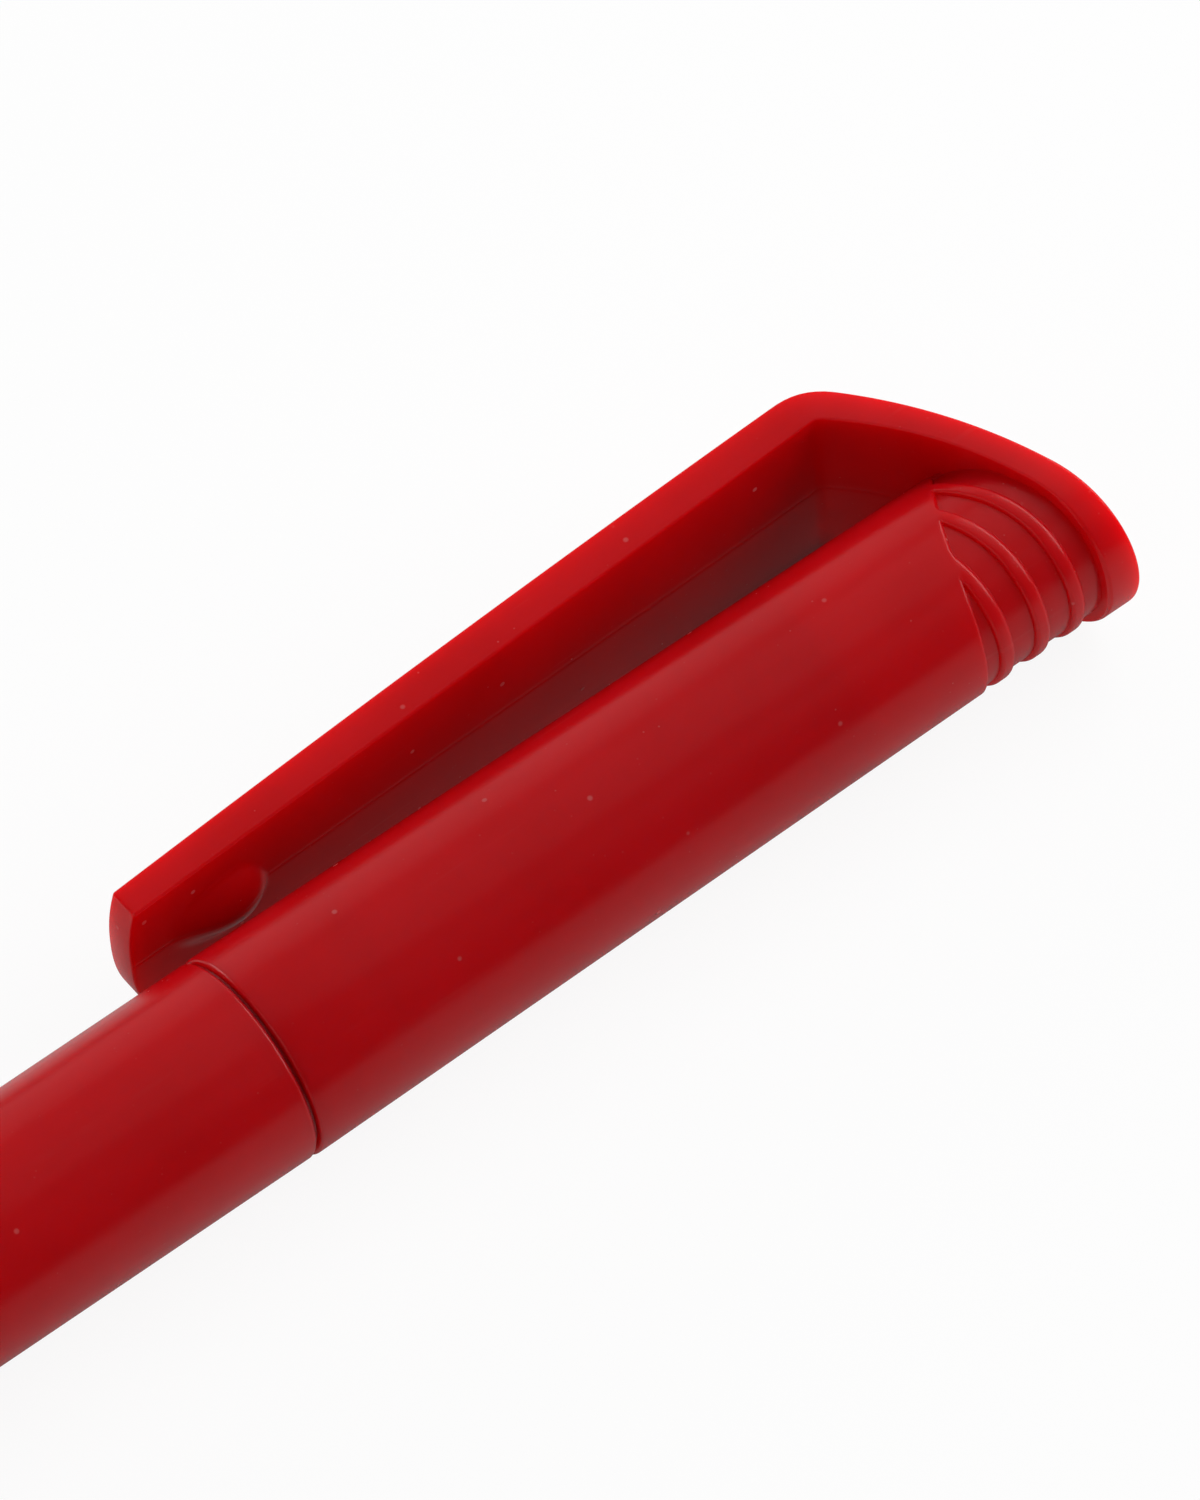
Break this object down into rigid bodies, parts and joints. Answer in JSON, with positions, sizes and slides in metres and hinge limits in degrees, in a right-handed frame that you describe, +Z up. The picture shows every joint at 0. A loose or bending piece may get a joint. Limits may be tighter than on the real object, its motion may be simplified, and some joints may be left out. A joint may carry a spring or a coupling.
{
  "type": "ballpoint pen",
  "caption": "Twist-action plastic ballpoint pen with a moulded pocket clip, a slanted hood with curved ribs, a nose cone, a helical feed and a spring-returned refill.",
  "frame": {"origin": "middle of the pen's box on the surface that it lies on", "axes": "+X along the pen from the writing tip to the hood, +Y the way the clip points, +Z up from the surface that the hood's flank lies on"},
  "size_m": [0.1394, 0.0162, 0.011],
  "materials": {
    "red_plastic": "semi-gloss moulded plastic",
    "natural_acetal": "satin",
    "black_acetal": "satin",
    "refill_plastic": "translucent",
    "brass": "turned",
    "steel": "drawn wire and polished ball",
    "blue_ink": "wet paste"
  },
  "bodies": {
    "lower_body": {"lower_barrel": "red_plastic", "nose_cone": "red_plastic", "guide_sleeve": "natural_acetal", "return_spring": "steel"},
    "upper_body": {"upper_barrel": "red_plastic", "cam_sleeve": "black_acetal"},
    "refill_body": {"plunger": "natural_acetal", "refill_tube": "refill_plastic", "refill_plug": "natural_acetal", "tip_socket": "natural_acetal", "writing_tip": "brass", "ink_column": "blue_ink", "grease_plug": "refill_plastic"},
    "writing_ball": {"ball": "steel"}
  },
  "joints": [
    {"name": "twist", "type": "hinge", "parent": "lower_body", "child": "upper_body", "pos_m": [0.02028, -0.00263, 0.0055], "axis": [-1, 0, 0], "range_deg": [0, 150]},
    {"name": "refill_feed", "type": "slide", "parent": "lower_body", "child": "refill_body", "axis": [-1, 0, 0], "range_m": [0, 0.005], "deforming": ["return_spring"]},
    {"name": "ball_roll", "type": "hinge", "parent": "refill_body", "child": "writing_ball", "pos_m": [-0.06722, -0.00263, 0.0055], "axis": [0, 1, 0], "continuous": true}
  ],
  "couplings": [
    {"joint": "twist", "follows": "refill_feed", "rad_per_m": 523.6}
  ]
}
